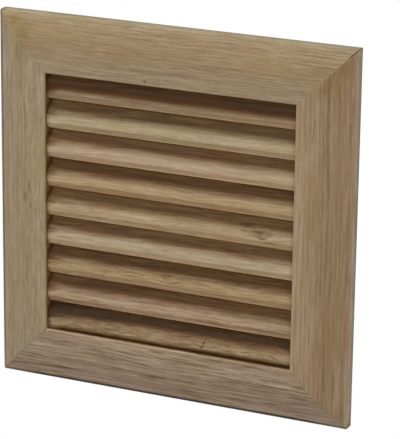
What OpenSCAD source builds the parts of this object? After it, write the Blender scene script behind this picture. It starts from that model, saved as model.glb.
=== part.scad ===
// Wooden air vent grille: a mitred, bevelled frame round nine fixed louvre slats.
// It lies flat on a wall over a duct opening. X runs to the right across the grille,
// Y runs from the room into the wall and Z runs up. The origin is at the middle of
// the bottom rail's flat back, which lies on the wall, so the room side is at negative Y.
// The modules draw round the middle of the opening, and placed() lifts them to their place.

/* [Frame] */
// Width of the grille over its outer edges
grille_w = 195; // [120:1:400]
// Height of the grille over its outer edges
grille_h = 195; // [180:1:280]
// Thickness of the frame at its flat band, from the wall to the front
frame_t = 11.2; // [10:0.1:20]
// Width of each frame member, from the outer edge to the opening
frame_w = 29.4; // [24:0.1:34]
// Thickness that the bevel leaves at the outer edge
edge_t = 3.8; // [2:0.1:6]
// Width of the bevel on the front of each member
bevel_w = 15; // [8:0.1:18]

/* [Frame edges] */
// Radius of the frame's outer corners seen from the front, but for the top right one
corner_r = 2; // [0.5:0.1:4]
// Radius of the top right corner, which is less worn
crisp_corner_r = 0.5; // [0.5:0.1:4]
// Radius on the outer front edge
outer_edge_r = 1.2; // [0.2:0.1:1.6]
// Radius of the soft line where the bevel meets the flat band
arris_r = 12; // [1:0.5:24]
// Radius on the front edge of the opening
inner_edge_r = 0.8; // [0.2:0.1:1.4]
// Radius on the back edges
back_edge_r = 0.4; // [0.2:0.1:0.6]

/* [Slats] */
// Thickness of a slat, square to its faces
slat_t = 7.8; // [7:0.1:8.6]
// Angle between a slat's faces and the horizontal
slat_tilt = 48; // [40:1:50]
// Drop from the top of the opening to the upper corner of the first slat's nose
first_slat_drop = 3.8; // [3.4:0.1:8]
// Rise from the bottom of the opening to the upper corner of the last slat's nose
last_slat_rise = 9; // [7:0.1:12]
// Setback of the slats' noses behind the frame's front
slat_setback = 1.5; // [0.5:0.1:3]
// Setback of the slats' rear edges from the wall
slat_rear_gap = 0.3; // [0.2:0.1:2]

/* [Slat edges] */
// Height of the chamfer under the nose, up the nose's front
chamfer_h = 5.4; // [3:0.1:6]
// Depth of the chamfer under the nose, back from the nose's front
chamfer_d = 1.5; // [0.8:0.1:2.5]
// Radius of the nose's upper corner
nose_top_r = 3.5; // [0.5:0.1:5]
// Radius of the soft line between the nose's front and its chamfer
nose_low_r = 0.8; // [0.3:0.1:3]
// Radius of the slat's lower edge, behind the chamfer
foot_r = 0.8; // [0.3:0.1:1.2]
// Radius on the rear edges
rear_edge_r = 0.5; // [0.2:0.1:0.8]

/* [Top rail] */
// Depth of the lip that stays in front of the air passage over the first slat
lip_d = 2.5; // [1.5:0.1:3.5]

/* [Housings] */
// Depth of the grooves in the stiles that hold the slats' ends
housing_depth = 4; // [1:0.5:8]
// Clearance round a slat in its groove
housing_fit = 0.1; // [0.05:0.05:0.3]

/* [Hidden] */

// How far a cutter reaches past the face that it cuts
past = 1;
// Turn of each facet on a rounded corner, in degrees
facet_turn = 7.5;
slat_count = 9;
opening_w = grille_w - 2 * frame_w;
opening_h = grille_h - 2 * frame_w;
// The slats share the opening's height evenly
slat_pitch = (opening_h - first_slat_drop - last_slat_rise) / (slat_count - 1);
// Height of a slat measured straight up through its sloping faces
slat_upright_t = slat_t / cos(slat_tilt);
nose_y = slat_setback - frame_t;
rear_y = -slat_rear_gap;
// Height of the opening's middle over the middle of the bottom rail
lift = (grille_h - frame_w) / 2;
oak_pale = "#b59a78";
oak_tan = "#a98c6b";
oak_brown = "#9c7f60";

// A direction of length 1
function unit(v) = v / norm(v);

// Height of slat i's upper nose corner, where slat 1 is the top one
function nose_z(i) = opening_h / 2 - first_slat_drop - (i - 1) * slat_pitch;

// The points that round the corner p between its neighbours a and b, or p itself at radius 0
function corner_points(a, p, b, r) =
    r <= 0 ? [p] :
    let(
        to_a = unit(a - p),
        to_b = unit(b - p),
        half = acos(to_a * to_b) / 2,
        centre = p + unit(to_a + to_b) * r / sin(half),
        turn = 180 - 2 * half,
        steps = ceil(turn / facet_turn),
        // From the centre square to each side
        from_a = unit(p + to_a * r / tan(half) - centre),
        from_b = unit(p + to_b * r / tan(half) - centre)
    )
    [
        for (k = [0 : steps])
            centre + r * (sin(turn * (1 - k / steps)) * from_a + sin(turn * k / steps) * from_b) / sin(turn)
    ];

// An outline whose corners are rounded, each to its own radius, or sharp at 0
module rounded_outline(points, radii) {
    count = len(points);
    polygon([
        for (i = [0 : count - 1])
            each corner_points(
                points[(i + count - 1) % count],
                points[i],
                points[(i + 1) % count],
                radii[i]
            )
    ]);
}

// Section of a frame member: across from its outer edge, up from the wall
module member_outline() {
    rounded_outline(
        [[0, 0], [0, edge_t], [bevel_w, frame_t], [frame_w, frame_t], [frame_w, 0]],
        [back_edge_r, outer_edge_r, arris_r, inner_edge_r, back_edge_r]
    );
}

// Half of an outer corner of radius r, from a member's outer edge to the mitre
function half_corner(r) =
    let(steps = ceil(45 / facet_turn))
    [
        for (k = [0 : steps])
            r * [1 - sin(45 * k / steps), 1 - cos(45 * k / steps)]
    ];

// A mitred member of the frame, laid along the bottom edge, with the radii of its two corners
module member(long, across, left_r, right_r) {
    left_corner = half_corner(left_r);
    right_corner = half_corner(right_r);
    intersection() {
        translate([-long / 2 - past, 0, -across / 2])
            rotate([90, 0, 90])
                linear_extrude(long + 2 * past) rotate(90) member_outline();
        translate([0, past, 0]) rotate([90, 0, 0])
            linear_extrude(frame_t + 2 * past)
                polygon([
                    for (p = left_corner)
                        [p[0] - long / 2, p[1] - across / 2],
                    [-long / 2 + frame_w + past, -across / 2 + frame_w + past],
                    [long / 2 - frame_w - past, -across / 2 + frame_w + past],
                    for (k = [len(right_corner) - 1 : -1 : 0])
                        [long / 2 - right_corner[k][0], right_corner[k][1] - across / 2]
                ]);
    }
}

// Direction square to the side from a to b, out of an outline that runs clockwise
function outward(a, b) = [a[1] - b[1], b[0] - a[0]] / norm(b - a);

// The corners of a clockwise outline after its sides move out by grow
function grown(points, grow) =
    let(count = len(points))
    [
        for (i = [0 : count - 1])
            let(
                before = outward(points[(i + count - 1) % count], points[i]),
                after = outward(points[i], points[(i + 1) % count])
            )
            points[i] + grow * (before + after) / (1 + before * after)
    ];

// The corners of slat i's section, clockwise from the top of its chamfer.
// It slopes up from the nose to the rear.
function slat_points(i, rear) =
    let(
        rise = tan(slat_tilt),
        top = nose_z(i),
        low = top - slat_upright_t
    )
    [
        [nose_y, low + chamfer_h],
        [nose_y, top],
        [rear, top + (rear - nose_y) * rise],
        [rear, low + (rear - nose_y) * rise],
        [nose_y + chamfer_d, low + chamfer_d * rise]
    ];

// Section of a slat with its edges rounded
module slat_outline(i) {
    rounded_outline(slat_points(i, rear_y), [nose_low_r, nose_top_r, rear_edge_r, rear_edge_r, foot_r]);
}

// Section of the groove that holds a slat, open to the back
module groove_outline(i) {
    rounded_outline(
        grown(slat_points(i, past), housing_fit),
        [nose_low_r + housing_fit, nose_top_r + housing_fit, 0, 0, foot_r + housing_fit]
    );
}

// A bar of the drawn section, long enough to reach into both stiles
module cross_bar() {
    long = opening_w + 2 * housing_depth;
    translate([-long / 2, 0, 0])
        rotate([90, 0, 90])
            linear_extrude(long) children();
}

// The grooves that the slats slide into from the back
module housings() {
    for (i = [1 : slat_count])
        cross_bar() groove_outline(i);
}

// The air passage over the first slat, which splays the back of the top rail
module top_passage() {
    long = opening_w;
    low = opening_h / 2 - past;
    front = lip_d - frame_t - past / tan(slat_tilt);
    translate([-long / 2, 0, 0])
        rotate([90, 0, 90])
            linear_extrude(long)
                polygon([
                    [front, low],
                    [past, low + (past - front) * tan(slat_tilt)],
                    [past, low]
                ]);
}

// Lifts what is drawn round the opening's middle to its place over the origin
module placed() {
    translate([0, 0, lift]) children();
}

module frame_top_rail() {
    color(oak_pale)
        placed() difference() {
            mirror([0, 0, 1]) member(grille_w, grille_h, corner_r, crisp_corner_r);
            housings();
            top_passage();
        }
}

module frame_bottom_rail() {
    color(oak_tan)
        placed() difference() {
            member(grille_w, grille_h, corner_r, corner_r);
            housings();
        }
}

module frame_left_stile() {
    color(oak_pale)
        placed() difference() {
            rotate([0, 90, 0]) member(grille_h, grille_w, corner_r, corner_r);
            housings();
        }
}

module frame_right_stile() {
    color(oak_brown)
        placed() difference() {
            rotate([0, -90, 0]) member(grille_h, grille_w, corner_r, crisp_corner_r);
            housings();
        }
}

// Slat i, counted from the top
module slat(i) {
    color(i % 2 == 0 ? oak_pale : oak_tan)
        placed() cross_bar() slat_outline(i);
}

frame_top_rail();
frame_bottom_rail();
frame_left_stile();
frame_right_stile();
slat(1);  // slat_01
slat(2);  // slat_02
slat(3);  // slat_03
slat(4);  // slat_04
slat(5);  // slat_05
slat(6);  // slat_06
slat(7);  // slat_07
slat(8);  // slat_08
slat(9);  // slat_09
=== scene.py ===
"""Dresses the wooden air vent grille in bare oak and sets its camera and lights."""

import logging
import math
from dataclasses import dataclass
from enum import Enum
from typing import Dict, Optional, Sequence, Tuple, Union

import bpy
from mathutils import Matrix, Vector


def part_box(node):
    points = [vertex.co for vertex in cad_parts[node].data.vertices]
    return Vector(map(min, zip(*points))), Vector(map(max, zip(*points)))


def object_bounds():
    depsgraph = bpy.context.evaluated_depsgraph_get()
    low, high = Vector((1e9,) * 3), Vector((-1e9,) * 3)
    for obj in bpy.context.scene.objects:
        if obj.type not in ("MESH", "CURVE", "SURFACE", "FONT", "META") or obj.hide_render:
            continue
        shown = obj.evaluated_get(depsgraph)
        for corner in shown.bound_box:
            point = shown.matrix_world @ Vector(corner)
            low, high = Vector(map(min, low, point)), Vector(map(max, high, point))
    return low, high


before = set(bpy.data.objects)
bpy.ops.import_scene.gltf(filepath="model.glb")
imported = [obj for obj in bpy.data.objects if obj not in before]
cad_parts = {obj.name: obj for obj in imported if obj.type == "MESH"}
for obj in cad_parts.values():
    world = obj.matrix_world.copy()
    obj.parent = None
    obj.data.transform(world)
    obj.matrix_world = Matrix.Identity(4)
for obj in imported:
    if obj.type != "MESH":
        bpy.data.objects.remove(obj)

Colour = Tuple[float, float, float]
Socket = bpy.types.NodeSocket
Feed = Union[float, Sequence[float], Socket]
Stops = Sequence[Tuple[float, Union[float, Sequence[float]]]]

LOG = logging.getLogger("grille")

# Millimetres in a metre
MM = 1000.0

# How many slats the grille has
SLATS = 9

# The middle of the range of a noise or a tone
MIDDLE = 0.5

# A screen's curve: where its straight foot ends, how steep the foot is, its offset and power
FOOT_END, FOOT_SLOPE = 0.04045, 12.92
SCREEN_OFFSET, SCREEN_POWER = 0.055, 2.4


def srgb(code: str) -> Colour:
    """Turns a hex colour, as a screen shows it, into linear red, green and blue.

    Args:
        code: Six hex digits, with or without a leading #.

    Returns:
        The linear colour.
    """
    digits = code.lstrip("#")
    parts = (int(digits[start:start + 2], 16) / 255 for start in (0, 2, 4))
    return tuple(
        part / FOOT_SLOPE if part <= FOOT_END
        else ((part + SCREEN_OFFSET) / (1 + SCREEN_OFFSET)) ** SCREEN_POWER
        for part in parts
    )


def slat_node(number: int) -> str:
    """The name of a slat's node, by its number from the top."""
    return f"slat_{number:02d}"


@dataclass(frozen=True)
class Extent:
    """The grille's outer box, in metres."""

    low: Vector
    high: Vector

    @property
    def middle(self) -> Vector:
        """The middle of the grille, on its back plane."""
        low, high = self.low, self.high
        return Vector(((low[0] + high[0]) / 2, high[1], (low[2] + high[2]) / 2))

    @property
    def front(self) -> float:
        """Where its front is, in millimetres."""
        return self.low[1] * MM

    @property
    def depth(self) -> float:
        """How deep it is, in millimetres."""
        return (self.high[1] - self.low[1]) * MM

    @property
    def half_width(self) -> float:
        """Half its width, in millimetres."""
        return (self.high[0] - self.low[0]) / 2 * MM

    @property
    def half_height(self) -> float:
        """Half its height, in millimetres."""
        return (self.high[2] - self.low[2]) / 2 * MM


class Side(Enum):
    """The four members of the frame."""

    TOP = "frame_top_rail"
    BOTTOM = "frame_bottom_rail"
    LEFT = "frame_left_stile"
    RIGHT = "frame_right_stile"

    @property
    def upright(self) -> bool:
        """Whether the member is a stile."""
        return self in (Side.LEFT, Side.RIGHT)

    @property
    def inward(self) -> float:
        """The way from its outer edge to the opening along its axis, 1 or -1."""
        return -1.0 if self in (Side.TOP, Side.RIGHT) else 1.0


@dataclass(frozen=True)
class Timber:
    """Where in the tree a piece was cut, which gives its grain.

    Sizes are in millimetres. along is how far up the tree the piece was, and the pith is the
    middle of the tree's rings. ring is a ring's thickness, lean how much the grain slants,
    wander how much it bends and wave how long its bends are. length and girth scale the
    streaks.
    """

    along: float
    pith_across: float
    pith_behind: float
    ring: float = 2.0
    lean: float = 0.02
    wander: float = 0.8
    wave: float = 60.0
    length: float = 1.0
    girth: float = 1.0


@dataclass(frozen=True)
class Tone:
    """The colours of a piece of oak: its dark, middle and pale streaks, and its clouds.

    contrast is how far the streaks stand apart.
    """

    dark: str
    middle: str
    pale: str
    cloud: str
    contrast: float = 1.0


@dataclass(frozen=True)
class Mark:
    """A knot, stain or painted shade: its place and size in millimetres, its colour and its strength.

    The place is measured along the piece from its middle and across it. swirl is how far the
    grain bends round it, hard is 0 for a soft stain and near 1 for a sharp edge, and slant
    is how far it leans.
    """

    along: float
    across: float
    length: float
    width: float
    colour: str
    strength: float
    swirl: float = 0.0
    hard: float = 0.0
    slant: float = 0.0


@dataclass(frozen=True)
class Oak:
    """The finish of one piece of oak, and the warm tint of painted shade on its slopes if it has any.
    """

    timber: Timber
    tone: Tone
    marks: Tuple[Mark, ...] = ()
    slope: str = "#f4c684"

    @property
    def knots(self) -> Tuple[Mark, ...]:
        """The marks that the grain bends round."""
        return tuple(mark for mark in self.marks if mark.swirl)


@dataclass(frozen=True)
class Streaks:
    """A pattern of streaks: its size along and across the grain in millimetres.

    detail is how many finer layers it has, and seed sets it apart from the others.
    """

    along: float
    across: float
    detail: float = 2.0
    seed: float = 0.0

    def on(self, timber: Timber) -> "Streaks":
        """The pattern at a timber's own scale."""
        return Streaks(self.along * timber.length, self.across * timber.girth, self.detail, self.seed)


@dataclass(frozen=True)
class Sway:
    """One size of the grain's bends.

    wave is its length as a share of the timber's, width its size across in millimetres,
    detail how many finer layers it has, and push how far it moves the grain.
    """

    wave: float
    width: float
    detail: float
    push: float


@dataclass(frozen=True)
class Fade:
    """A number that eases from one value to another between two places."""

    start: float
    end: float
    first: float = 0.0
    last: float = 1.0


class Graph:
    """Builds the node tree of one material, a node at a time."""

    # The sockets of a Mix node that blends colours
    MIX_BY, MIX_FIRST, MIX_SECOND, MIX_RESULT = 0, 6, 7, 2

    def __init__(self, tree: bpy.types.NodeTree) -> None:
        """Starts from an empty tree."""
        self.tree = tree
        self.tree.nodes.clear()

    def add(self, kind: str, **settings: object) -> bpy.types.Node:
        """Adds a node and gives it its settings.

        Args:
            kind: The node's type.
            settings: Its properties.

        Returns:
            The node.
        """
        node = self.tree.nodes.new(kind)
        for name, value in settings.items():
            setattr(node, name, value)
        return node

    def feed(self, socket: Socket, value: Feed) -> None:
        """Links a socket to another, or sets its value.

        Args:
            socket: The input to feed.
            value: An output socket, a number, or a colour or vector.
        """
        if isinstance(value, bpy.types.NodeSocket):
            self.tree.links.new(value, socket)
        elif socket.type == "RGBA":
            socket.default_value = (*value, 1.0)
        else:
            socket.default_value = value

    def feed_all(self, node: bpy.types.Node, values: Sequence[Feed]) -> None:
        """Feeds a node's first inputs in order.

        Args:
            node: The node.
            values: What each input gets.
        """
        for socket, value in zip(node.inputs, values):
            self.feed(socket, value)

    def math(self, operation: str, a: Feed, b: Feed = 0.0, c: Feed = 0.0) -> Socket:
        """One step of arithmetic.

        Args:
            operation: The Math node's operation.
            a: Its first value.
            b: Its second value.
            c: Its third value.

        Returns:
            The result.
        """
        node = self.add("ShaderNodeMath", operation=operation)
        self.feed_all(node, (a, b, c))
        return node.outputs[0]

    def product(self, first: Feed, *others: Feed) -> Feed:
        """Numbers multiplied together.

        Args:
            first: The first number.
            others: The rest of them.

        Returns:
            Their product.
        """
        result = first
        for value in others:
            result = self.math("MULTIPLY", result, value)
        return result

    def nudge(self, value: Feed, noise: Socket, amount: float) -> Socket:
        """Pushes a number up and down by noise.

        Args:
            value: The number.
            noise: The noise, about 0.5.
            amount: How much the noise's whole range changes it.

        Returns:
            The pushed number.
        """
        return self.math("MULTIPLY_ADD", self.math("SUBTRACT", noise, MIDDLE), amount, value)

    def distance(self, a: Socket, b: Socket) -> Socket:
        """The length of two steps at right angles.

        Args:
            a: The first step.
            b: The second step.

        Returns:
            The length.
        """
        return self.math("SQRT", self.math("MULTIPLY_ADD", a, a, self.math("MULTIPLY", b, b)))

    def split(self, vector: Feed) -> Tuple[Socket, Socket, Socket]:
        """Takes a vector apart.

        Args:
            vector: The vector.

        Returns:
            Its three parts.
        """
        node = self.add("ShaderNodeSeparateXYZ")
        self.feed_all(node, (vector,))
        return tuple(node.outputs)

    def join(self, x: Feed, y: Feed, z: Feed) -> Socket:
        """Makes a vector.

        Args:
            x: Its first part.
            y: Its second part.
            z: Its third part.

        Returns:
            The vector.
        """
        node = self.add("ShaderNodeCombineXYZ")
        self.feed_all(node, (x, y, z))
        return node.outputs[0]

    def noise(self, at: Feed, detail: float) -> Tuple[Socket, Socket]:
        """Fractal noise about one unit in size.

        Args:
            at: Where it is read.
            detail: How many finer layers it has.

        Returns:
            The noise as a number and as a colour.
        """
        node = self.add("ShaderNodeTexNoise")
        self.feed(node.inputs["Vector"], at)
        node.inputs["Scale"].default_value = 1.0
        node.inputs["Detail"].default_value = detail
        return node.outputs[0], node.outputs[1]

    def streaks(self, place: "Place", pattern: Streaks, seed: float = 0.0) -> Socket:
        """Noise stretched along the grain.

        Args:
            place: The piece's coordinates.
            pattern: The streaks' size, detail and seed.
            seed: The piece's own seed, which is added to the pattern's.

        Returns:
            The noise, about 0.5.
        """
        across, behind = place.grain_v or place.v, place.grain_w or place.w
        shift = self.math("ADD", self.math("DIVIDE", place.u, pattern.along), pattern.seed + seed)
        across, behind = (self.math("DIVIDE", part, pattern.across) for part in (across, behind))
        return self.noise(self.join(shift, across, behind), pattern.detail)[0]

    def ramp(self, by: Feed, stops: Stops) -> Socket:
        """A colour or a number read off a ramp.

        Args:
            by: The place on the ramp, from 0 to 1.
            stops: Places with their colours, or with numbers as greys.

        Returns:
            The ramp's colour.
        """
        node = self.add("ShaderNodeValToRGB")
        self.feed_all(node, (by,))
        elements = node.color_ramp.elements
        while len(elements) < len(stops):
            elements.new(1.0)
        for element, (place, value) in zip(elements, stops):
            element.position = place
            colour = (value,) * 3 if isinstance(value, (int, float)) else value
            element.color = (*colour, 1.0)
        return node.outputs[0]

    def curve(self, value: Feed, points: Stops) -> Socket:
        """A number or a colour that follows straight lines between points.

        Args:
            value: What is looked up.
            points: The values looked up and their results, in rising order.

        Returns:
            The result.
        """
        low, high = points[0][0], points[-1][0]
        by = self.fit(value, low, high, smooth=False)
        return self.ramp(by, [((x - low) / (high - low), y) for x, y in points])

    def fit(
        self, value: Feed, low: Feed, high: Feed, to: Sequence[float] = (0.0, 1.0), smooth: bool = True,
    ) -> Socket:
        """Moves a number from one range to another, and keeps it inside.

        Args:
            value: The number.
            low: Where the first range starts.
            high: Where it ends.
            to: The second range.
            smooth: Whether it eases in and out.

        Returns:
            The number in the second range.
        """
        kind = "SMOOTHSTEP" if smooth else "LINEAR"
        node = self.add("ShaderNodeMapRange", interpolation_type=kind, clamp=True)
        self.feed_all(node, (value, low, high, *to))
        return node.outputs[0]

    def fade(self, value: Feed, fade: Fade) -> Socket:
        """A fade read at a value."""
        return self.fit(value, fade.start, fade.end, (fade.first, fade.last))

    def mix(self, by: Feed, a: Feed, b: Feed, mode: str = "MIX") -> Socket:
        """Blends two colours.

        Args:
            by: How much of the second shows.
            a: The first colour.
            b: The second colour.
            mode: The blend mode.

        Returns:
            The blended colour.
        """
        node = self.add("ShaderNodeMix", data_type="RGBA", blend_type=mode)
        for number, value in ((self.MIX_BY, by), (self.MIX_FIRST, a), (self.MIX_SECOND, b)):
            self.feed(node.inputs[number], value)
        return node.outputs[self.MIX_RESULT]

    def tint(self, colour: Feed, by: Feed) -> Socket:
        """A colour multiplied by another."""
        return self.mix(1.0, colour, by, "MULTIPLY")

    def times(self, colour: Feed, factor: Feed) -> Socket:
        """Makes a colour lighter or darker.

        Args:
            colour: The colour.
            factor: What it is multiplied by.

        Returns:
            The new colour.
        """
        node = self.add("ShaderNodeVectorMath", operation="SCALE")
        self.feed(node.inputs[0], colour)
        self.feed(node.inputs["Scale"], factor)
        return node.outputs[0]


@dataclass(frozen=True)
class Bearing:
    """How a piece lies in the grille.

    middle is the grille's middle in metres. across_from is where across starts, in
    millimetres from the middle, and inward is 1 or -1, the way that across grows. front is
    where behind starts, in millimetres.
    """

    middle: Vector
    upright: bool
    across_from: float
    inward: float
    front: float


@dataclass
class Place:
    """A piece's coordinates in its graph, in millimetres.

    u, v and w run along, across and behind, and x and z from the grille's middle.
    back is 1 where the surface faces the wall. grain_v and grain_w are v and w bent with
    the grain.
    """

    u: Socket
    v: Socket
    w: Socket
    x: Socket
    z: Socket
    back: Socket
    grain_v: Optional[Socket] = None
    grain_w: Optional[Socket] = None


# The streaks, from fine to broad, and how strongly each shows in the tone
FIBRE = Streaks(5.0, 0.32)
STREAK = Streaks(15.0, 0.9, seed=31.0)
BROAD = Streaks(55.0, 3.6, seed=73.0)
STREAK_WEIGHT = 1.35
BROAD_WEIGHT = 0.75
FIBRE_WEIGHT = 0.7

# The clouds of a slightly different colour
CLOUD = Streaks(38.0, 6.0, seed=57.0)
CLOUD_SHOWS = Fade(0.42, 0.68, 0.0, 0.8)
CLOUD_TINT = 0.55

# The open pores, which lie mostly in early wood
PORE = Streaks(3.0, 0.16, 1.0, 11.0)
PORE_SHOWS = Fade(0.56, 0.68)
EARLY_WOOD = Fade(0.75, 0.2)
EARLY_SHARE, LATE_SHARE = 0.7, 0.3
PORE_STRENGTH, PORE_TONE = 0.4, 0.42

# The growth rings: their tone from early to late wood, and how uneven they are
RING_TONE = ((0.0, 0.0), (0.12, 0.12), (0.34, 0.5), (0.64, 0.86), (0.88, 1.0), (1.0, 0.0))
RING_STRETCH, RING_DETAIL, RING_UNEVEN = 0.45, 2.0, 3.0
RING_WEIGHT = 0.34
RING_PATCHES = Streaks(24.0, 5.0, 1.0, 91.0)
RING_SHOWS = Fade(0.35, 0.65, 0.15, 1.0)

# The grain's bends, and how it behaves round a knot
SWAYS = (Sway(1.0, 24.0, 1.0, 4.5), Sway(0.24, 5.0, 2.0, 1.1))
KNOT_BEND_REACH = 2.2
KNOT_RING_REACH, KNOT_RING_GAIN = 2.0, 2.2

# The ragged edge of a mark, and how much the wood shows through a soft stain
MARK_EDGE = Streaks(5.0, 0.9, 3.0)
MARK_RAGGED = 0.9
STAIN_THIN = 0.5

# The wood's relief and surface
FIBRE_RELIEF, RING_RELIEF, PORE_RELIEF = 0.5, 0.25, -0.6
RELIEF_STRENGTH, RELIEF_DEPTH = 0.55, 0.00012
ROUGHNESS, SPECULAR = 0.62, 0.22

# How far a surface's normal turns to the wall before it counts as the back
FACES_WALL = Fade(0.1, 0.5)


class OakShader:
    """The layers of bare oak in one material."""

    def __init__(self, name: str, oak: Oak, bearing: Bearing) -> None:
        """Makes an empty material for a piece.

        Args:
            name: The material's name.
            oak: The piece's finish.
            bearing: How the piece lies.
        """
        self.material = bpy.data.materials.new(name)
        self.material.use_nodes = True
        self.graph = Graph(self.material.node_tree)
        self.oak = oak
        self.place = self.read_place(bearing)

    def read_place(self, bearing: Bearing) -> Place:
        """Makes the piece's coordinates.

        Args:
            bearing: How the piece lies.

        Returns:
            The coordinates.
        """
        graph, middle = self.graph, bearing.middle
        coords = graph.add("ShaderNodeTexCoord")
        x, y, z = (graph.math("MULTIPLY", part, MM) for part in graph.split(coords.outputs["Object"]))
        back = graph.fade(graph.split(coords.outputs["Normal"])[1], FACES_WALL)
        x = graph.math("SUBTRACT", x, middle[0] * MM)
        z = graph.math("SUBTRACT", z, middle[2] * MM)
        u, side = (z, x) if bearing.upright else (x, z)
        v = graph.product(graph.math("SUBTRACT", side, bearing.across_from), bearing.inward)
        w = graph.math("SUBTRACT", y, bearing.front)
        return Place(u, v, w, x, z, back)

    def bend(self) -> None:
        """Bends the grain by its wander and round the knots."""
        graph, timber, place = self.graph, self.oak.timber, self.place
        along = graph.math("ADD", place.u, timber.along)
        across, behind = place.v, place.w
        for sway in SWAYS:
            _, bends = graph.noise(graph.join(
                graph.math("DIVIDE", along, timber.wave * sway.wave),
                graph.math("DIVIDE", place.v, sway.width),
                graph.math("DIVIDE", place.w, sway.width),
            ), sway.detail)
            bend_v, bend_w, _ = graph.split(bends)
            across = graph.nudge(across, bend_v, sway.push * timber.wander)
            behind = graph.nudge(behind, bend_w, sway.push * timber.wander)
        for knot in self.oak.knots:
            rise = graph.math("SUBTRACT", place.v, knot.across)
            side = graph.fit(rise, -knot.width, knot.width, (-1.0, 1.0))
            push = graph.product(self.nearness(knot, KNOT_BEND_REACH), side, -knot.swirl)
            across = graph.math("ADD", across, push)
        place.grain_v = graph.math("MULTIPLY_ADD", place.u, -timber.lean, across)
        place.grain_w = behind

    def rings(self) -> Socket:
        """The growth rings.

        Returns:
            The ring's tone, 0 in early wood and 1 in late wood.
        """
        graph, timber = self.graph, self.oak.timber
        across = graph.math("SUBTRACT", self.place.grain_v, timber.pith_across)
        behind = graph.math("SUBTRACT", self.place.grain_w, timber.pith_behind)
        count = graph.math("DIVIDE", graph.distance(across, behind), timber.ring)
        stretched = graph.join(graph.product(count, RING_STRETCH), timber.along, 0.0)
        uneven, _ = graph.noise(stretched, RING_DETAIL)
        count = graph.math("MULTIPLY_ADD", uneven, RING_UNEVEN, count)
        return graph.ramp(graph.math("FRACT", count), RING_TONE)

    def ring_strength(self) -> Socket:
        """How clearly the rings show, which comes and goes and is most round a knot.

        Returns:
            The strength.
        """
        graph = self.graph
        patches = graph.streaks(self.place, RING_PATCHES, self.oak.timber.along)
        strength = graph.fade(patches, RING_SHOWS)
        for knot in self.oak.knots:
            near = graph.product(self.nearness(knot, KNOT_RING_REACH), KNOT_RING_GAIN)
            strength = graph.math("MAXIMUM", strength, near)
        return strength

    def nearness(self, mark: Mark, reach: float = 1.0) -> Socket:
        """How near a point is to a mark: 1 in its middle and 0 outside it.

        Args:
            mark: The mark.
            reach: How far it spreads, in its own sizes.

        Returns:
            The nearness.
        """
        graph, place = self.graph, self.place
        rise = graph.math("SUBTRACT", place.v, mark.across)
        run = graph.math("SUBTRACT", graph.math("MULTIPLY_ADD", rise, -mark.slant, place.u), mark.along)
        run = graph.math("DIVIDE", run, mark.length * reach)
        rise = graph.math("DIVIDE", rise, mark.width * reach)
        ragged = graph.streaks(place, MARK_EDGE, mark.along)
        far = graph.nudge(graph.distance(run, rise), ragged, MARK_RAGGED * (1.0 - mark.hard))
        return graph.fit(far, 1.0, mark.hard)

    def tone_level(self, rings: Socket, fibre: Socket) -> Socket:
        """How pale the grain is, from its rings and streaks.

        Args:
            rings: The rings' tone.
            fibre: The finest streaks.

        Returns:
            The level, 0 where it is darkest and 1 where it is palest.
        """
        graph, timber, contrast = self.graph, self.oak.timber, self.oak.tone.contrast
        level = graph.product(graph.math("SUBTRACT", rings, MIDDLE), self.ring_strength())
        level = graph.math("MULTIPLY_ADD", level, RING_WEIGHT * contrast, MIDDLE)
        streak = graph.streaks(self.place, STREAK.on(timber), timber.along)
        broad = graph.streaks(self.place, BROAD.on(timber), timber.along)
        for layer, weight in ((streak, STREAK_WEIGHT), (broad, BROAD_WEIGHT), (fibre, FIBRE_WEIGHT)):
            level = graph.nudge(level, layer, weight * contrast)
        return level

    def open_pores(self, rings: Socket) -> Socket:
        """The open pores.

        Args:
            rings: The rings' tone.

        Returns:
            1 in a pore and 0 outside.
        """
        graph = self.graph
        pores = graph.fade(graph.streaks(self.place, PORE, self.oak.timber.along), PORE_SHOWS)
        early = graph.math("MULTIPLY_ADD", graph.fade(rings, EARLY_WOOD), EARLY_SHARE, LATE_SHARE)
        return graph.product(pores, early)

    def colour(self) -> Tuple[Socket, Socket]:
        """The wood's colour, with its rings, fibres, pores and marks.

        Returns:
            The colour, and the height of the wood's relief from 0 to 1.
        """
        graph, timber, tone = self.graph, self.oak.timber, self.oak.tone
        self.bend()
        rings = self.rings()
        fibre = graph.streaks(self.place, FIBRE.on(timber), timber.along)
        stops = ((0.0, srgb(tone.dark)), (0.5, srgb(tone.middle)), (1.0, srgb(tone.pale)))
        base = graph.ramp(self.tone_level(rings, fibre), stops)
        cloud = graph.fade(graph.streaks(self.place, CLOUD, timber.along), CLOUD_SHOWS)
        base = graph.mix(cloud, base, graph.mix(CLOUD_TINT, base, srgb(tone.cloud)))
        pores = self.open_pores(rings)
        base = graph.mix(graph.product(pores, PORE_STRENGTH), base, graph.times(base, PORE_TONE))
        for mark in self.oak.marks:
            near = graph.product(self.nearness(mark), mark.strength)
            base = graph.mix(near, base, self.mark_colour(base, mark))
        height = graph.math("MULTIPLY_ADD", fibre, FIBRE_RELIEF, graph.product(rings, RING_RELIEF))
        return base, graph.math("MULTIPLY_ADD", pores, PORE_RELIEF, height)

    def mark_colour(self, base: Socket, mark: Mark) -> Feed:
        """The colour inside a mark: its own, or for a soft stain half its own over the wood.

        Args:
            base: The wood's colour.
            mark: The mark.

        Returns:
            The colour.
        """
        own = srgb(mark.colour)
        if mark.hard:
            return own
        return self.graph.mix(STAIN_THIN, own, self.graph.tint(base, own))

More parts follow.
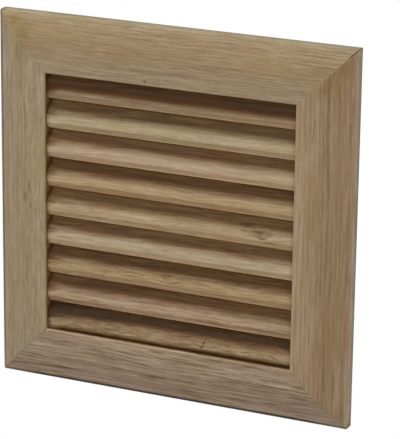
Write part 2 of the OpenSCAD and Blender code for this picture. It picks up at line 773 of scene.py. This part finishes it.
    def finish(self, colour: Feed, height: Feed) -> bpy.types.Material:
        """Puts colour, roughness and relief into the surface.

        Args:
            colour: The base colour.
            height: The relief, from 0 to 1.

        Returns:
            The material.
        """
        graph = self.graph
        bump = graph.add("ShaderNodeBump")
        bump.inputs["Strength"].default_value = RELIEF_STRENGTH
        bump.inputs["Distance"].default_value = RELIEF_DEPTH
        graph.feed(bump.inputs["Height"], height)
        shader = graph.add("ShaderNodeBsdfPrincipled")
        graph.feed(shader.inputs["Base Color"], colour)
        shader.inputs["Roughness"].default_value = ROUGHNESS
        shader.inputs["Specular IOR Level"].default_value = SPECULAR
        graph.feed(shader.inputs["Normal"], bump.outputs[0])
        graph.feed_all(graph.add("ShaderNodeOutputMaterial"), (shader.outputs[0],))
        return self.material


def put_on(node: str, material: bpy.types.Material) -> None:
    """Gives a node of the frame a material in each of its slots.

    Args:
        node: The node's name.
        material: The material.
    """
    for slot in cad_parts[node].material_slots:
        slot.material = material
    LOG.info("dressed %s in %s", node, material.name)


@dataclass(frozen=True)
class Member:
    """The finish of one member of the frame: its oak, and the painted light and shade across it.

    Each point of across is a distance from the outer edge in millimetres, with what red,
    green and blue are multiplied by there, which paints light and shade across the profile
    along with some tone. rim is how much painted shade its outer edge's rounding has, rim_to
    how far in that shade reaches, reveal how bright the painted shade leaves its face in the
    opening, and heel how bright the painted shade leaves its outer back edge.
    """

    oak: Oak
    across: Tuple[Tuple[float, Tuple[float, float, float]], ...]
    rim: float
    rim_to: float
    reveal: float
    heel: float = 1.0


@dataclass(frozen=True)
class Gap:
    """A stretch of a mitre that stands open: its middle, its reach and its strength."""

    x: float
    z: float
    reach: float
    strength: float


MITRE_GAPS = (
    Gap(95.0, 95.0, 5.5, 0.9),
    Gap(-70.0, -70.0, 3.5, 0.55),
    Gap(-81.5, 81.5, 3.0, 0.5),
)

# Painted shade on the outer edges' rounding, which is ragged and thins out at the arris and the mitres
EDGE_NOISE = Streaks(9.0, 2.5, 3.0, 5.0)
EDGE_SHADE_COLOUR = "#433c33"
RIM_RAGGED, RIM_SOFT = 0.8, 0.8
RIM_ROUND = Fade(0.2, 1.0, 0.6, 1.0)
RIM_AT_BACK = -0.7
RIM_AT_MITRE = Fade(0.0, 20.0, 0.45, 1.0)

# The faces in the opening: where they start, and the tint of their painted shade
REVEAL_FROM, REVEAL_TO = 0.5, 0.1
REVEAL_BEHIND = Fade(0.3, 1.6)
REVEAL_TINT = "#f2cea0"

# A stile's painted light and shade from one slat's nose to the next, and its painted shade under the
# top rail
NOSE_TONE = ((0.0, 1.35), (0.25, 1.0), (0.45, 0.8), (0.62, 0.7), (0.78, 0.8), (0.9, 1.3), (1.0, 1.35))
UNDER_RAIL = Fade(SLATS - 0.6, SLATS - 0.3, 1.0, 0.4)

# The painted shade on the outer back edge
HEEL_ACROSS = Fade(0.8, 0.2)
HEEL_FROM, HEEL_TO = 1.6, 0.4

# The blurred meeting of two members, from the foot of the grille to its head
MITRE_RAGGED = 7.0
MITRE_BLUR = Fade(1.8, -0.4, 0.0, 0.5)
MITRE_HEIGHTS = Fade(-90.0, 90.0)
MITRE_LOW, MITRE_HIGH = "#88745c", "#98835f"

# The mitre's dark line: how far it gapes, its half width, its tone and its depth
SEAM_PATCH, SEAM_DETAIL = 9.0, 2.0
SEAM_GAPE = Fade(0.45, 0.7, 0.03, 0.2)
SEAM_WIDTH = Fade(0.0, 1.0, 0.2, 0.6)
SEAM_CORE, GAP_CORE = 0.3, 0.4
SEAM_SHADE, SEAM_COLOUR, SEAM_COLOUR_SHARE = 0.35, "#4a300f", 0.6
SEAM_RELIEF = -1.2


@dataclass
class FrameWood:
    """The four mitred members of the frame, whose width is in millimetres."""

    extent: Extent
    finishes: Dict[Side, Member]
    width: float

    def dress(self) -> None:
        """Gives each member its oak."""
        for side in Side:
            self.dress_member(side, self.finishes[side])

    def dress_member(self, side: Side, member: Member) -> None:
        """Gives one member its oak, with its mitre lines and painted light and shade on its faces and
        edges.

        Args:
            side: Which member.
            member: Its finish.
        """
        extent = self.extent
        half = extent.half_width if side.upright else extent.half_height
        bearing = Bearing(extent.middle, side.upright, -side.inward * half, side.inward, extent.front)
        shader = OakShader(side.value, member.oak, bearing)
        graph = shader.graph
        colour, height = shader.colour()
        # Painted light and shade across the member's profile, with some tone
        colour = graph.tint(colour, graph.curve(shader.place.v, member.across))
        edge_noise = graph.streaks(shader.place, EDGE_NOISE)
        # Painted shade on the outer edge's rounding
        colour = graph.mix(self.paint_edge_shade(shader, member, edge_noise), colour, srgb(EDGE_SHADE_COLOUR))
        colour = self.shade_reveal(shader, side, member, colour)
        colour = self.shade_heel(shader, member, colour)
        colour = self.blur_mitre(shader, edge_noise, colour)
        line = self.seam(shader)
        dark = graph.mix(SEAM_COLOUR_SHARE, graph.times(colour, SEAM_SHADE), srgb(SEAM_COLOUR))
        height = graph.math("MULTIPLY_ADD", line, SEAM_RELIEF, height)
        put_on(side.value, shader.finish(graph.mix(line, colour, dark), height))

    def paint_edge_shade(self, shader: OakShader, member: Member, edge_noise: Socket) -> Socket:
        """The painted shade along a member's outer edge.

        Args:
            shader: The member's material.
            member: Its finish.
            edge_noise: The noise that makes the painted shade ragged.

        Returns:
            How much painted shade it has.
        """
        graph, place = shader.graph, shader.place
        ragged = graph.nudge(place.v, edge_noise, RIM_RAGGED)
        return graph.product(
            graph.fit(ragged, member.rim_to, member.rim_to - RIM_SOFT),
            member.rim,
            graph.fade(place.v, RIM_ROUND),
            graph.math("MULTIPLY_ADD", place.back, RIM_AT_BACK, 1.0),
            graph.fade(self.mitre_distance(shader), RIM_AT_MITRE),
        )

    def shade_reveal(self, shader: OakShader, side: Side, member: Member, colour: Socket) -> Socket:
        """Paints shade on a member's face in the opening.

        Args:
            shader: The member's material.
            side: Which member.
            member: Its finish.
            colour: Its colour.

        Returns:
            The new colour.
        """
        graph, place = shader.graph, shader.place
        inner = graph.fit(place.v, self.width - REVEAL_FROM, self.width - REVEAL_TO)
        inside = graph.product(inner, graph.fade(place.w, REVEAL_BEHIND))
        bright = member.reveal
        if side.upright:
            bright = graph.product(self.slat_shade(shader), bright)
        return graph.mix(inside, colour, graph.times(graph.tint(colour, srgb(REVEAL_TINT)), bright))

    def slat_shade(self, shader: OakShader) -> Socket:
        """A stile's painted shade in the opening, dark over each slat and painted light under its nose.

        Args:
            shader: The stile's material.

        Returns:
            What the face's brightness is multiplied by.
        """
        graph = shader.graph
        highest, lowest = (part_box(slat_node(number))[0][2] for number in (1, SLATS))
        pitch = (highest - lowest) / (SLATS - 1) * MM
        from_lowest = graph.math("SUBTRACT", shader.place.z, (lowest - self.extent.middle[2]) * MM)
        count = graph.math("DIVIDE", from_lowest, pitch)
        tone = graph.curve(graph.math("FRACT", count), NOSE_TONE)
        return graph.product(tone, graph.fade(count, UNDER_RAIL))

    def shade_heel(self, shader: OakShader, member: Member, colour: Socket) -> Socket:
        """Paints shade on a member's outer back edge.

        Args:
            shader: The member's material.
            member: Its finish.
            colour: Its colour.

        Returns:
            The new colour.
        """
        graph, place, depth = shader.graph, shader.place, self.extent.depth
        behind = graph.fit(place.w, depth - HEEL_FROM, depth - HEEL_TO)
        heel = graph.product(graph.fade(place.v, HEEL_ACROSS), behind)
        return graph.mix(heel, colour, graph.times(colour, member.heel))

    def blur_mitre(self, shader: OakShader, edge_noise: Socket, colour: Socket) -> Socket:
        """Blends a member into its neighbour's tone near the mitre.

        Args:
            shader: The member's material.
            edge_noise: The noise that makes the blend ragged.
            colour: The member's colour.

        Returns:
            The new colour.
        """
        graph = shader.graph
        meet = graph.nudge(self.mitre_distance(shader), edge_noise, MITRE_RAGGED)
        height = graph.fade(shader.place.z, MITRE_HEIGHTS)
        shared = graph.mix(height, srgb(MITRE_LOW), srgb(MITRE_HIGH))
        return graph.mix(graph.fade(meet, MITRE_BLUR), colour, shared)

    def seam(self, shader: OakShader) -> Socket:
        """The mitre's line, which comes and goes.

        Args:
            shader: The member's material.

        Returns:
            How strong the line is.
        """
        graph, place = shader.graph, shader.place
        x, z = (graph.math("DIVIDE", part, SEAM_PATCH) for part in (place.x, place.z))
        patches, _ = graph.noise(graph.join(x, 0.0, z), SEAM_DETAIL)
        gape = graph.fade(patches, SEAM_GAPE)
        for gap in MITRE_GAPS:
            run, rise = graph.math("SUBTRACT", place.x, gap.x), graph.math("SUBTRACT", place.z, gap.z)
            far = graph.distance(run, rise)
            here = graph.fit(far, gap.reach, gap.reach * GAP_CORE, (0.0, gap.strength))
            gape = graph.math("MAXIMUM", gape, here)
        width = graph.fade(gape, SEAM_WIDTH)
        line = graph.fit(self.mitre_distance(shader), width, graph.product(width, SEAM_CORE))
        return graph.product(line, gape)

    def mitre_distance(self, shader: OakShader) -> Socket:
        """How far a point is from the nearest mitre, in millimetres.

        Args:
            shader: The member's material.

        Returns:
            The distance.
        """
        graph, place = shader.graph, shader.place
        from_side = graph.math("SUBTRACT", self.extent.half_width, graph.math("ABSOLUTE", place.x))
        from_end = graph.math("SUBTRACT", self.extent.half_height, graph.math("ABSOLUTE", place.z))
        return graph.math("ABSOLUTE", graph.math("SUBTRACT", from_side, from_end))


@dataclass(frozen=True)
class PaintedShading:
    """How a slat's painted light and shade fall from its nose to its slope.

    Each point is a height in millimetres above the slat's lower edge, with the brightness there,
    which paints light and shade from the lower edge up the slope, over the real shading.
    warm_from is the brightness below which the wood takes its slope's warm tint of painted shade.
    """

    points: Tuple[Tuple[float, float], ...]
    warm_from: float = 0.86


# Painted light and shade up each slat, over its real shading: an open slat has a painted highlight
# under its nose and painted shade up its slope, the top slat the top rail's painted shadow, and the
# foot slat a painted dark crevice over the bottom rail
OPEN_SLAT = PaintedShading((
    (0.0, 1.5), (0.6, 1.4), (1.3, 0.98), (2.6, 0.93), (3.6, 0.98), (6.4, 1.03), (7.3, 0.85),
    (8.3, 0.68), (9.3, 0.52), (10.3, 0.32), (11.3, 0.21), (13.5, 0.29), (15.2, 0.55), (17.5, 1.0),
))
TOP_SLAT = PaintedShading((
    (0.0, 1.3), (0.6, 1.25), (1.3, 0.98), (2.6, 0.89), (3.4, 0.82), (4.3, 0.63), (5.3, 0.46),
    (6.3, 0.26), (7.4, 0.16), (9.0, 0.14), (10.0, 0.135), (11.0, 0.2), (12.0, 0.4), (17.0, 0.5),
), warm_from=0.78)
FOOT_SLAT = PaintedShading((
    (0.0, 0.15), (1.3, 0.16), (2.1, 0.52), (3.4, 0.8), (4.3, 0.9), (6.0, 0.87), (7.0, 0.78),
    (8.3, 0.62), (9.3, 0.43), (10.3, 0.27), (11.3, 0.155), (13.5, 0.17), (15.0, 0.32), (17.0, 0.6),
))

# Where the painted shade starts: its ragged line, and how much lower it starts near the left stile, as
# that stile's painted shadow
SHADE_EDGE = Streaks(24.0, 3.0, 3.0, 3.0)
SHADE_EDGE_RAGGED = 1.2
SECTION_SLOPE = 0.31
LEFT_CORNER = Fade(9.0, 0.0, 0.0, 2.2)
CORNER_TOP = Fade(10.5, 7.5)

# The rough sawn slope: its patches and where they start, and the warm tint of painted shade at each
# height
SAWN = Streaks(26.0, 1.3, 4.0, 17.0)
SAWN_TONE = Fade(0.3, 0.7, -0.22, 0.22)
SAWN_FROM = Fade(7.0, 10.5)
SLOPE_TINT = ((0.0, 0.45), (1.0, 0.2), (2.8, 0.16), (3.6, 0.0), (10.5, 0.0), (11.5, 0.75))
WARMEST = 0.15

# The back's even tone in place of the painted shade, and how much less of the warm tint it has
BACK_TONE, BACK_COOL = 0.85, -0.85

# Painted shade on the slats' ends at the stiles, and the painted shadow in the grooves over the slopes
END_SHADE = Fade(0.0, 3.0, 0.78, 1.0)
GROOVE_ABOVE, GROOVE_REACH = Fade(9.0, 11.0), -1.6
GROOVE_SHADOW = Fade(0.6, -0.4, 0.0, 0.5)
GROOVE_SHADOW_COLOUR = "#4a280c"


@dataclass
class Louvres:
    """The nine slats, in an opening whose width is in millimetres."""

    extent: Extent
    finishes: Tuple[Oak, ...]
    opening: float

    def dress(self) -> None:
        """Gives each slat its oak."""
        for number, oak in enumerate(self.finishes, 1):
            painted_shading = {1: TOP_SLAT, SLATS: FOOT_SLAT}.get(number, OPEN_SLAT)
            self.dress_slat(slat_node(number), oak, painted_shading)

    def dress_slat(self, node: str, oak: Oak, painted_shading: PaintedShading) -> None:
        """Gives one slat its oak, with painted light and shade from its nose to its rougher slopes.

        Args:
            node: The slat's node.
            oak: Its finish.
            painted_shading: How its painted light and shade fall away from its nose.
        """
        low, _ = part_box(node)
        middle = self.extent.middle
        bearing = Bearing(middle, False, (low[2] - middle[2]) * MM, 1.0, low[1] * MM)
        shader = OakShader(node, oak, bearing)
        colour, height = shader.colour()
        up = self.height_up(shader)
        colour = self.paint_slope_shade(shader, painted_shading, up, colour)
        put_on(node, shader.finish(self.shade_ends(shader, up, colour), height))

    def height_up(self, shader: OakShader) -> Socket:
        """How far up a slat's section a point is, with a ragged edge and a painted shadow at the left
        corner.

        Args:
            shader: The slat's material.

        Returns:
            The height in millimetres above its lower edge.
        """
        graph, place = shader.graph, shader.place
        up = graph.math("MULTIPLY_ADD", place.w, SECTION_SLOPE, place.v)
        up = graph.nudge(up, graph.streaks(place, SHADE_EDGE), SHADE_EDGE_RAGGED)
        from_left = graph.math("ADD", place.x, self.opening / 2)
        shift = graph.product(graph.fade(from_left, LEFT_CORNER), graph.fade(up, CORNER_TOP))
        return graph.math("ADD", up, shift)

    def paint_slope_shade(self, shader: OakShader, painted_shading: PaintedShading, up: Socket, colour: Socket) -> Socket:
        """Darkens a slat's slopes with painted shade and warms them with a painted bounce tint.

        Args:
            shader: The slat's material.
            painted_shading: How its painted light and shade fall away from its nose.
            up: How far up its section a point is.
            colour: Its colour.

        Returns:
            The new colour.
        """
        graph, back = shader.graph, shader.place.back
        shade = graph.curve(up, painted_shading.points)
        sawn = graph.fade(graph.streaks(shader.place, SAWN), SAWN_TONE)
        sawn = graph.product(sawn, graph.fade(up, SAWN_FROM))
        shade = graph.math("MULTIPLY_ADD", shade, sawn, shade)
        shade = graph.math("MULTIPLY_ADD", back, graph.math("SUBTRACT", BACK_TONE, shade), shade)
        dim = graph.fit(shade, painted_shading.warm_from, WARMEST)
        warm = graph.math("MAXIMUM", dim, graph.curve(up, SLOPE_TINT))
        warm = graph.product(warm, graph.math("MULTIPLY_ADD", back, BACK_COOL, 1.0))
        return graph.times(graph.mix(warm, colour, graph.tint(colour, srgb(shader.oak.slope))), shade)

    def shade_ends(self, shader: OakShader, up: Socket, colour: Socket) -> Socket:
        """Paints shade on a slat's ends, where it goes into the stiles, and shadow in the grooves.

        Args:
            shader: The slat's material.
            up: How far up its section a point is.
            colour: Its colour.

        Returns:
            The new colour.
        """
        graph = shader.graph
        end = graph.math("SUBTRACT", self.opening / 2, graph.math("ABSOLUTE", shader.place.x))
        colour = graph.times(colour, graph.fade(end, END_SHADE))
        near = graph.math("MULTIPLY_ADD", graph.fade(up, GROOVE_ABOVE), GROOVE_REACH, end)
        return graph.mix(graph.fade(near, GROOVE_SHADOW), colour, srgb(GROOVE_SHADOW_COLOUR))


@dataclass(frozen=True)
class Softbox:
    """A square light: its direction in degrees, its distance and size in metres, its power."""

    name: str
    azimuth: float
    elevation: float
    distance: float
    size: float
    power: float

    def build(self, aim: Vector) -> None:
        """Hangs the light so that it faces the grille.

        Args:
            aim: The point that it faces.
        """
        data = bpy.data.lights.new(self.name, "AREA")
        data.size = self.size
        data.energy = self.power
        light = bpy.data.objects.new(self.name, data)
        bpy.context.scene.collection.objects.link(light)
        toward = direction(self.azimuth, self.elevation)
        light.location = aim + toward * self.distance
        light.rotation_euler = toward.to_track_quat("Z", "Y").to_euler()
        LOG.info("hung %s", self.name)


def direction(azimuth: float, elevation: float) -> Vector:
    """The unit vector to a place in front of the grille.

    Args:
        azimuth: Degrees to the right, seen from the room.
        elevation: Degrees up.

    Returns:
        The vector.
    """
    turn, rise = math.radians(azimuth), math.radians(elevation)
    level = math.cos(rise)
    return Vector((math.sin(turn) * level, -math.cos(turn) * level, math.sin(rise)))


@dataclass(frozen=True)
class Viewpoint:
    """The camera: where it is, where it looks and how long its lens is.

    Angles are in degrees, the distance is in metres, and the lens and the sensor in
    millimetres. turn and lift point it a little off the middle of the grille.
    """

    azimuth: float
    elevation: float
    distance: float
    turn: float
    lift: float
    roll: float
    lens: float
    sensor: float = 36.0
    near: float = 0.05

    def build(self, aim: Vector) -> None:
        """Places the camera.

        Args:
            aim: The point that its place is measured from.
        """
        data = bpy.data.cameras.new("camera")
        data.sensor_fit = "VERTICAL"
        data.sensor_height = self.sensor
        data.lens = self.lens
        data.clip_start = self.near
        camera = bpy.data.objects.new("camera", data)
        bpy.context.scene.collection.objects.link(camera)
        back = direction(self.azimuth + self.turn, self.elevation + self.lift)
        right = (-back).cross(Vector((0, 0, 1))).normalized()
        up = right.cross(-back)
        roll = math.radians(self.roll)
        side = math.cos(roll) * right + math.sin(roll) * up
        top = math.cos(roll) * up - math.sin(roll) * right
        matrix = Matrix((side, top, back)).transposed().to_4x4()
        matrix.translation = aim + direction(self.azimuth, self.elevation) * self.distance
        camera.matrix_world = matrix
        bpy.context.scene.camera = camera
        LOG.info("placed the camera")


@dataclass(frozen=True)
class Studio:
    """The white surround and its soft daylight, which is brightest towards its sky.

    sky_at is the sky's direction in degrees, and glow how bright the surround is from away
    from it to towards it.
    """

    boxes: Tuple[Softbox, ...]
    sky_at: Tuple[float, float]
    glow: Fade
    daylight: Colour

    def build(self, aim: Vector) -> None:
        """Makes the surround and hangs the lights.

        Args:
            aim: The point that the lights face.
        """
        world = bpy.data.worlds.new("surround")
        world.use_nodes = True
        bpy.context.scene.world = world
        graph = Graph(world.node_tree)
        seen = graph.add("ShaderNodeLightPath").outputs["Is Camera Ray"]
        way = graph.add("ShaderNodeTexCoord").outputs["Generated"]
        facing = graph.add("ShaderNodeVectorMath", operation="DOT_PRODUCT")
        graph.feed_all(facing, (way, direction(*self.sky_at)))
        soft = graph.add("ShaderNodeBackground")
        graph.feed_all(soft, (self.daylight, graph.fade(facing.outputs["Value"], self.glow)))
        white = graph.add("ShaderNodeBackground")
        graph.feed_all(white, ((1.0, 1.0, 1.0), 1.0))
        pick = graph.add("ShaderNodeMixShader")
        graph.feed_all(pick, (seen, soft.outputs[0], white.outputs[0]))
        graph.feed_all(graph.add("ShaderNodeOutputWorld"), (pick.outputs[0],))
        for box in self.boxes:
            box.build(aim)
        bpy.context.scene.view_settings.view_transform = "Standard"


# Each member's across table paints light and shade across its profile, on its outer side face, bevel,
# flat and inner edge, along with some tone; rim is painted shade on its outer edge's rounding
FRAME_OAK = {
    Side.TOP: Member(
        Oak(
            Timber(40, -30, 26, ring=2.2, lean=0.01, wander=0.7, wave=42, length=0.7, girth=0.95),
            Tone("#7f684b", "#96805f", "#ab9779", "#96815a", contrast=0.85),
            marks=(
                Mark(-88, 5, 9, 5, "#a38b49", 0.75),
                Mark(-82, 11, 9, 7, "#9f8650", 0.7),
                Mark(76, 4, 3.2, 1.5, "#8a7250", 0.3),
                Mark(79, 12.5, 11, 4, "#9c8250", 0.5),
                Mark(-12.5, 27.2, 0.9, 0.95, "#523a2a", 0.9, swirl=0.25, hard=0.2),
                # Painted shade on the rounded outer corner
                Mark(-96.5, 0.4, 3.5, 1.3, "#6b6152", 0.7, hard=0.3),
            ),
        ),
        across=(
            (0, (1.24, 1.42, 1.8)),
            (0.9, (1.12, 1.18, 1.32)),
            (4, (1.02, 1.02, 1.08)),
            (8, (0.985, 0.975, 0.975)),
            (12, (0.885, 0.845, 0.835)),
            (16.5, (0.94, 0.91, 0.92)),
            (19, (0.955, 0.96, 1.035)),
            (23, (1, 1.04, 1.18)),
            (30, (1.02, 1.03, 1.2)),
        ),
        rim=0.0, rim_to=1.9, reveal=0.6,
    ),
    Side.BOTTOM: Member(
        Oak(
            Timber(310, 60, 40, ring=1.7, lean=0.004, wander=0.7, wave=60, length=1.0, girth=1.05),
            Tone("#6f5a44", "#927d65", "#a8937b", "#947868", contrast=1.4),
            marks=(
                Mark(20, 16.2, 30, 0.5, "#5c4a38", 0.6),
                Mark(73, 15.0, 9, 0.7, "#66543f", 0.85, hard=0.35),
                Mark(55, 15.7, 14, 0.6, "#66543f", 0.65, hard=0.35),
                # Painted shade on the rounded outer corner
                Mark(96, 0.6, 4, 1.4, "#4d4438", 0.6, hard=0.3),
                Mark(-60, 8.6, 12, 1.1, "#665546", 0.75),
                Mark(-7, 12.6, 15, 1.4, "#66543f", 0.7),
                Mark(66, 5.5, 16, 3.0, "#9a7263", 0.45),
                Mark(81, 14, 7, 7, "#a58a66", 0.35),
            ),
        ),
        across=(
            (0, (1.18, 1.2, 1.27)),
            (2.5, (1.31, 1.36, 1.45)),
            (5, (1.18, 1.19, 1.25)),
            (8.5, (1.06, 1.05, 1.09)),
            (12, (1.24, 1.27, 1.31)),
            (16.5, (0.94, 0.96, 0.94)),
            (20, (1, 1.03, 1.05)),
            (24, (1.06, 1.09, 1.1)),
            (27.4, (1.08, 1.1, 1.07)),
            (28.5, (1.14, 1.16, 1.11)),
            (29.2, (1.28, 1.28, 1.18)),
            (30, (1.2, 1.18, 1.05)),
        ),
        rim=1.0, rim_to=2.2, reveal=0.35,
    ),
    Side.LEFT: Member(
        Oak(
            Timber(520, -50, 30, ring=2.6, lean=0.006, wander=1.3, wave=36, length=0.55, girth=1.5),
            Tone("#7f6e57", "#97866b", "#a99982", "#95855a", contrast=0.85),
            marks=(
                Mark(90, 4.5, 5, 3, "#b5a170", 0.4),
                # Painted shade on the rounded outer corner
                Mark(96.5, 0.4, 4, 1.4, "#5f574b", 0.75, hard=0.3),
                Mark(77, 16, 11, 7, "#93815e", 0.45),
                Mark(-83, 13, 15, 12, "#b0a89e", 0.35),
                Mark(2, 17.5, 4, 0.9, "#7a6444", 0.7, slant=0.9),
                Mark(8, 20.0, 5, 0.9, "#7a6444", 0.65, slant=0.9),
                Mark(-2, 20.5, 3.5, 0.8, "#7a6444", 0.55, slant=0.9),
            ),
        ),
        across=(
            (0, (1.0, 1.03, 1.2)),
            (2.5, (1.03, 1.03, 1.14)),
            (5, (0.98, 0.95, 0.97)),
            (8.5, (1.02, 1, 1.02)),
            (12, (0.98, 0.96, 0.95)),
            (16.5, (0.97, 0.94, 0.93)),
            (20, (1.02, 1, 0.99)),
            (24, (1.03, 1, 0.99)),
            (27.4, (1.13, 1.08, 1.05)),
            (28.4, (1.05, 0.96, 0.9)),
            (29.4, (1, 0.86, 0.76)),
        ),
        rim=0.6, rim_to=2.3, reveal=0.8,
    ),
    Side.RIGHT: Member(
        Oak(
            Timber(730, -40, 22, ring=2.2, lean=0.004, wander=0.5, wave=90, length=1.1, girth=1.3),
            Tone("#7c6347", "#987e60", "#a9947a", "#967450", contrast=0.88),
            marks=(
                Mark(79, 13.2, 5, 2.2, "#8d7348", 0.45),
                Mark(88, 5.5, 8, 5, "#a27b49", 0.6),
                Mark(76, 16.5, 8, 5, "#98784c", 0.4),
                Mark(-89, 4, 8, 4, "#927862", 0.45),
                # Painted shade on the rounded outer corner
                Mark(-96.8, 0.2, 3, 1.3, "#5b4f41", 0.75, hard=0.3),
                Mark(20, 17, 9, 3, "#a3906c", 0.4),
            ),
        ),
        across=(
            (0, (1.6, 1.92, 2.4)),
            (0.9, (1.15, 1.22, 1.36)),
            (1.8, (1.0, 1.03, 1.06)),
            (4, (0.99, 1.01, 1.03)),
            (8, (0.96, 0.95, 0.94)),
            (12, (0.965, 0.93, 0.92)),
            (16.5, (0.945, 0.945, 0.955)),
            (20, (0.98, 1.03, 1.06)),
            (24, (1.025, 1.08, 1.12)),
            (27.4, (1.07, 1.13, 1.19)),
            (28.5, (1.19, 1.26, 1.37)),
            (30, (1.1, 1.15, 1.2)),
        ),
        rim=0.1, rim_to=1.9, reveal=0.7, heel=0.5,
    ),
}

# Each slat's slope colour is the warm tint of light bounced between the slats, painted into its shade
SLAT_OAK = (
    Oak(
        Timber(900, -20, 18, ring=2.2, lean=0.02, wander=0.8, wave=50, length=0.6),
        Tone("#8a7255", "#a0896f", "#b19c82", "#a08866", contrast=1.15),
        slope="#fcc058",
    ),
    Oak(
        Timber(1100, -26, 30, ring=2.0, lean=0.02, wander=0.9, wave=50, length=0.55),
        Tone("#98835f", "#aa9677", "#baa88b", "#a69570", contrast=0.95),
        slope="#e9c080",
    ),
    Oak(
        Timber(1300, 30, 22, ring=2.4, lean=0.02, wander=0.9, wave=50, length=0.5),
        Tone("#9c8261", "#b1987b", "#c0ab90", "#b2957a", contrast=0.72),
    ),
    Oak(
        Timber(1500, -40, 16, ring=2.0, lean=0.02, wander=0.8, wave=50, length=0.6),
        Tone("#93795a", "#a98f6d", "#b8a281", "#a78a60", contrast=1.15),
        slope="#e1ab54",
    ),
    Oak(
        Timber(1700, 34, 24, ring=2.2, lean=0.02, wander=1.0, wave=40, length=0.6),
        Tone("#957c59", "#ac9474", "#bba68a", "#a99268", contrast=1.0),
        marks=(
            Mark(50, 6.5, 8, 3.6, "#8b6f4c", 0.55, swirl=2.2),
            Mark(43, 10.0, 7, 1.6, "#7d6038", 0.7),
            Mark(41.5, 7.4, 3.2, 1.0, "#876a42", 0.75),
            Mark(49.5, 7.6, 5.0, 1.0, "#7b5e3a", 0.8, slant=-1.5),
            Mark(51.5, 4.4, 4.0, 1.3, "#876b46", 0.8),
            Mark(56.0, 2.6, 6.0, 0.9, "#876b46", 0.6),
        ),
        slope="#fed696",
    ),
    Oak(
        Timber(1900, -30, 26, ring=2.2, lean=0.02, wander=0.9, wave=50, length=0.6),
        Tone("#98815f", "#ae997b", "#bdab91", "#ab9a78", contrast=1.3),
        marks=(
            Mark(0, 1.6, 90, 1.3, "#bda58a", 0.45, hard=0.1),
        ),
        slope="#fbcb8a",
    ),
    Oak(
        Timber(2100, 22, 16, ring=1.8, lean=0.03, wander=1.2, wave=40, length=0.6),
        Tone("#876b48", "#a38967", "#b49d7c", "#a18558", contrast=1.4),
        marks=(
            Mark(0, 6, 4.5, 2.6, "#8c714e", 0.5, swirl=1.3),
            Mark(1, 8.5, 1.6, 0.6, "#4c3822", 0.8, hard=0.1),
            Mark(-58, 7, 12, 0.6, "#735633", 0.5),
            Mark(0, 1.6, 90, 1.3, "#b69b86", 0.55, hard=0.1),
        ),
        slope="#e8b664",
    ),
    Oak(
        Timber(2340, -24, 30, ring=2.2, lean=0.02, wander=0.8, wave=50, length=0.65),
        Tone("#886c52", "#a4896d", "#b69e85", "#a68b72", contrast=1.4),
        slope="#f7c677",
    ),
    Oak(
        Timber(2500, 22, 14, ring=2.0, lean=0.03, wander=1.2, wave=26, length=0.42),
        Tone("#7b6143", "#a08564", "#b8a07e", "#957955", contrast=1.2),
        marks=(
            Mark(20.5, 6.2, 1.0, 5.2, "#5c4328", 0.8, swirl=0.8, hard=0.1, slant=0.45),
            Mark(-60, 8.8, 15, 4.2, "#4c3824", 0.65),
            Mark(-42, 9.8, 24, 2.2, "#4f3822", 0.5),
            # Painted shadow on the slat's left end by the stile
            Mark(-68.5, 6, 3.2, 12, "#4c3622", 0.6),
            Mark(-62, 13.0, 14, 4.0, "#4a3624", 0.55),
            Mark(31, 7.5, 5, 0.8, "#5a432a", 0.5),
        ),
        slope="#f3c371",
    ),
)

STUDIO = Studio(
    (
        Softbox("key", -30.0, 48.0, 1.3, 0.8, 6.5),
        Softbox("front", 8.0, 14.0, 2.2, 1.6, 9.0),
        Softbox("side", 72.0, 10.0, 1.6, 1.0, 2.5),
        Softbox("rear", 160.0, 20.0, 1.8, 1.2, 6.0),
    ),
    sky_at=(-25.0, 38.0), glow=Fade(-0.4, 0.95, 0.28, 0.7), daylight=(1.0, 0.99, 0.97),
)

VIEWPOINT = Viewpoint(24.803, 17.415, 1.24816, turn=-0.5855, lift=0.0921, roll=0.7412, lens=203.24)


def main() -> None:
    """Builds the grille's finishes, its surround and its camera."""
    logging.basicConfig(level=logging.INFO, format="%(name)s: %(message)s")
    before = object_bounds()
    extent = Extent(*before)
    left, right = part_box(Side.LEFT.value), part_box(Side.RIGHT.value)
    FrameWood(extent, FRAME_OAK, (left[1][0] - left[0][0]) * MM).dress()
    Louvres(extent, SLAT_OAK, (right[0][0] - left[1][0]) * MM).dress()
    STUDIO.build(extent.middle)
    VIEWPOINT.build(extent.middle)


if __name__ == "__main__":
    main()
